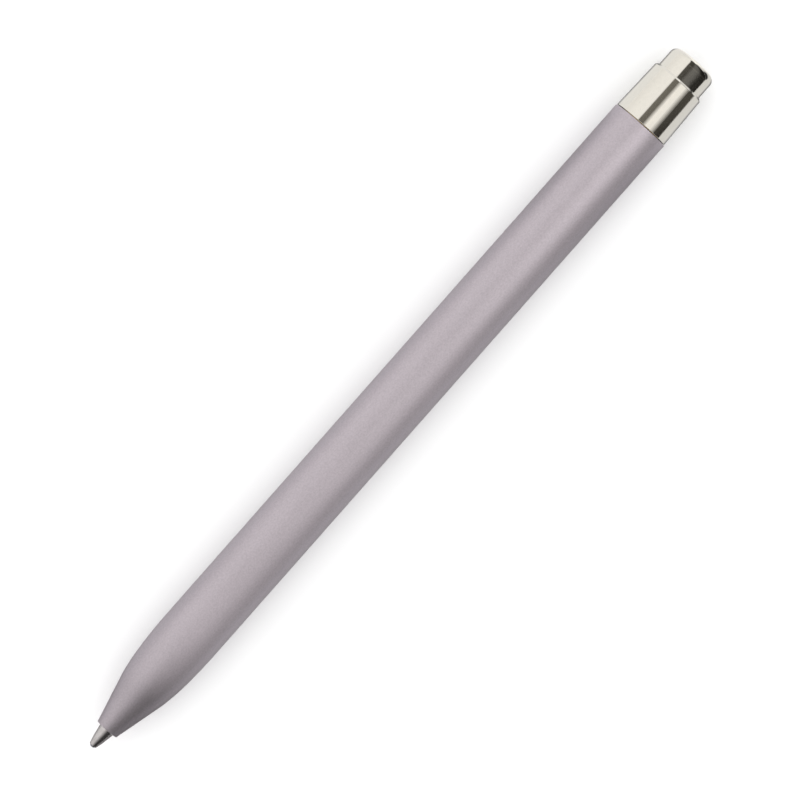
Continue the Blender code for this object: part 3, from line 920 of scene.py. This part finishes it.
def studio_object(name, data):
    """An object of the studio, which is no part of the pen."""
    made = bpy.data.objects.new(name, data)
    bpy.context.scene.collection.objects.link(made)
    return made


def pale_floor():
    """Matt and white, with a faint change of tone."""
    made = Finish("pale_floor", metallic=0.0, specular=0.0)
    tone = made.noise(across=FLOOR_PATCH)
    made.colour(tone, low=(0.945, 0.945, 0.945), high=(0.955, 0.955, 0.955))
    made.roughness(made.level(tone, low=0.9, high=0.95))
    return made.material


def add_floor():
    """A wide square just under the barrel."""
    half = FLOOR_SIZE / 2
    corners = [(x * half, y * half, FLOOR_LEVEL) for x, y in ((-1, -1), (1, -1), (1, 1), (-1, 1))]
    mesh = bpy.data.meshes.new("floor")
    mesh.from_pydata(corners, [], [(0, 1, 2, 3)])
    mesh.materials.append(pale_floor())
    studio_object("floor", mesh)


def tent_glow(tilt, along):
    """The light that the metals mirror, at each tilt and place along X.

    A wide soft box fills the +Y side and the top, dimmer towards the tip. A dark flag closes the -Y
    side, from the top down at the tip and from the horizon down at the button. A black sheet hangs over
    the button's end and beyond it, lighter where the collar mirrors it, with a glint of the window.
    """
    top = smooth(*TOP_TILTS, tilt)
    box = SIDE_BOX * (1 - SIDE_DIM * smooth(*SIDE_DIM_TILTS, -tilt)) * (1 - top) + TOP_BOX * top
    towards_tip = TIP_SHARE + (1 - TIP_SHARE) * smooth(*TIP_PLACES, along)
    far_off = 1 - FAR_DIM * smooth(*FAR_PLACES, -along)
    box = box * towards_tip * far_off
    flag_edge = FLAG_TIP_EDGE + (FLAG_REAR_EDGE - FLAG_TIP_EDGE) * smooth(*FLAG_PLACES, along)
    flag = smooth(flag_edge - FLAG_FADE, flag_edge + FLAG_FADE, tilt)
    sheet_edge = SHEET_EDGE - SHEET_SWING * smooth(*SHEET_SWING_PLACES, along)
    sheet = smooth(*SHEET_PLACES, along) * smooth(sheet_edge - SHEET_FADE, sheet_edge + SHEET_FADE, tilt)
    dusk = smooth(*DUSK_TILTS, tilt)
    collar = smooth(*COLLAR_SHADE_STARTS, along) * (1 - smooth(*COLLAR_SHADE_ENDS, along))
    shade = SHEET_GLOW * (1 - SHEET_DUSK * dusk) + COLLAR_SHADE * collar * (1 - COLLAR_DUSK * dusk)
    glint = WINDOW_GLINT * smooth(*GLINT_STARTS, tilt) * (1 - smooth(*GLINT_ENDS, tilt))
    white = (box * (1 - flag) + FLAG_GLOW * flag) * (1 - sheet) + glint * sheet
    return white[..., None] + (shade * sheet)[..., None] * np.array(SHEET_TINT)


def card_glow(out, along, nose, middle, joint, rear, beyond):
    """The light of a card on the floor, at each distance out from the pen and place along X.

    The level runs on from the nose to the middle, the barrel's rear joint, the collar and, past the line
    that fans out from the button, what lies beyond. The card is dark in the pen's own shadow.
    """
    level = nose + (middle - nose) * smooth(*MIDDLE_PLACES, along)
    level = level + (joint - middle) * smooth(*JOINT_PLACES, along)
    level = level + (rear - joint) * smooth(*REAR_PLACES, along)
    aside = out / np.maximum(along - BEYOND_CORNER, LEAST_RUN)
    level = level + (beyond - rear) * smooth(*BEYOND_PLACES, along) * smooth(*BEYOND_SLOPES, aside)
    shadow = (1 - smooth(*SHADOW_WIDTHS, out)) * (1 - smooth(*SHADOW_ENDS, np.abs(along)))
    return (level * (1 - SHADOW_DEPTH * shadow))[..., None] * np.array(FLOOR_TINT)


def glowing(name):
    """A light of the colour that each point of the mesh holds in its glow attribute."""
    material = bpy.data.materials.new(name)
    material.use_nodes = True
    tree = material.node_tree
    tree.nodes.clear()
    glow = tree.nodes.new("ShaderNodeAttribute")
    glow.attribute_name = "glow"
    light = tree.nodes.new("ShaderNodeEmission")
    surface = tree.nodes.new("ShaderNodeOutputMaterial").inputs["Surface"]
    tree.links.new(glow.outputs["Color"], light.inputs["Color"])
    tree.links.new(light.outputs["Emission"], surface)
    return material


def mirrored_card(name, grid, glow):
    """A sheet of light over a grid of points, with a colour for each, which only mirrored rays see."""
    rows, columns = grid.shape[:2]
    corner = (np.arange(rows - 1)[:, None] * columns + np.arange(columns - 1)[None, :]).ravel()
    faces = np.stack([corner, corner + 1, corner + columns + 1, corner + columns], axis=1)
    mesh = bpy.data.meshes.new(name)
    mesh.from_pydata(grid.reshape(-1, 3), [], faces)
    colours = np.ones((rows, columns, 4), np.float32)
    colours[..., :3] = glow
    mesh.attributes.new("glow", "FLOAT_COLOR", "POINT").data.foreach_set("color", colours.ravel())
    mesh.materials.append(glowing(name + "_light"))
    card = studio_object(name, mesh)
    card.visible_camera = False
    card.visible_diffuse = False
    card.visible_transmission = False
    card.visible_volume_scatter = False
    card.visible_shadow = False


def tent_places():
    """Places along X whose distances from the middle grow as a hyperbolic sine."""
    return TENT_SPACING * np.sinh(np.linspace(-TENT_REACH, TENT_REACH, TENT_COLUMNS))[None, :]


def add_tent():
    """Half a cylinder of light round the pen: the tilt t and the place x give (x, -R sin t, R cos t)."""
    tilt = np.linspace(-HORIZON, HORIZON, TENT_ROWS)[:, None]
    along = tent_places()
    angle = np.radians(tilt)
    across, up = -TENT_RADIUS * np.sin(angle), TENT_RADIUS * np.cos(angle) + AXIS_HEIGHT
    grid = np.stack(np.broadcast_arrays(along, across, up), axis=-1)
    mirrored_card("tent", grid, tent_glow(tilt, along))


def add_cards():
    """A flat card just over the floor at either side, whose rows lie closest beside the pen."""
    along = tent_places()
    out = np.geomspace(BARREL_RADIUS * MM, TENT_RADIUS, CARD_ROWS)[:, None]
    for name, side, levels in (("card_left", 1, LEFT_CARD), ("card_right", -1, RIGHT_CARD)):
        grid = np.stack(np.broadcast_arrays(along, side * out, FLOOR_LEVEL + CARD_LIFT), axis=-1)
        mirrored_card(name, grid, card_glow(out, along, **levels))


def light_only(light, piece):
    """Masks a light so that it falls on one piece of the pen only."""
    lit = bpy.data.collections.new("lit_by_" + light.name)
    lit.objects.link(bpy.data.objects[piece])
    light.light_linking.receiver_collection = lit


def soft_lamp(name, piece, tilt, place, distance, size, power):
    """A flat lamp that faces the pen's axis from its tilt and its place along X, for one piece only."""
    angle = math.radians(tilt)
    data = bpy.data.lights.new(name, "AREA")
    data.shape = "RECTANGLE"
    data.size, data.size_y = size
    data.energy = power
    lamp = studio_object(name, data)
    lamp.location = (place, -distance * math.sin(angle), AXIS_HEIGHT + distance * math.cos(angle))
    lamp.rotation_euler = (angle, 0, 0)
    light_only(lamp, piece)


def add_key():
    """A soft box past the button's end for the satin barrel."""
    soft_lamp("key", "barrel_tube", KEY_TILT, KEY_PLACE, KEY_DISTANCE, KEY_SIZE, KEY_POWER)


def add_collar_window():
    """A soft window that the tapered collar mirrors: lamps over one another, each narrower than before.

    A lamp's power is pi times its area times its brightness.
    """
    for number in range(WINDOW_LAMPS):
        low = WINDOW_LOW + WINDOW_LOW_STEP * number
        high = WINDOW_HIGH - WINDOW_HIGH_STEP * number
        tilt = (low + high) / 2
        width = 2 * WINDOW_DISTANCE * math.tan(math.radians(high - low) / 2)
        power = math.pi * WINDOW_LIGHT / WINDOW_LAMPS * WINDOW_LENGTH * width
        size = (WINDOW_LENGTH, width)
        name = "window_%d" % number
        soft_lamp(name, "collar_ring", tilt, WINDOW_PLACE, WINDOW_DISTANCE, size, power)


def add_daylight():
    """An even white light from all round."""
    world = bpy.data.worlds.new("studio")
    world.use_nodes = True
    background = world.node_tree.nodes["Background"]
    background.inputs["Color"].default_value = (1.0, 1.0, 1.0, 1.0)
    background.inputs["Strength"].default_value = DAYLIGHT
    bpy.context.scene.world = world


def add_camera():
    """A long lens that looks straight down on the pen."""
    data = bpy.data.cameras.new("camera")
    data.lens = LENS
    camera = bpy.data.objects.new("camera", data)
    camera.location = (*CAMERA_AIM, AXIS_HEIGHT + CAMERA_DISTANCE)
    camera.rotation_euler = (0, 0, -CAMERA_TURN)
    bpy.context.scene.collection.objects.link(camera)
    bpy.context.scene.camera = camera


bpy.context.scene.view_settings.view_transform = "Standard"
add_camera()
dress_pen()
add_floor()
add_tent()
add_cards()
add_key()
add_collar_window()
add_daylight()
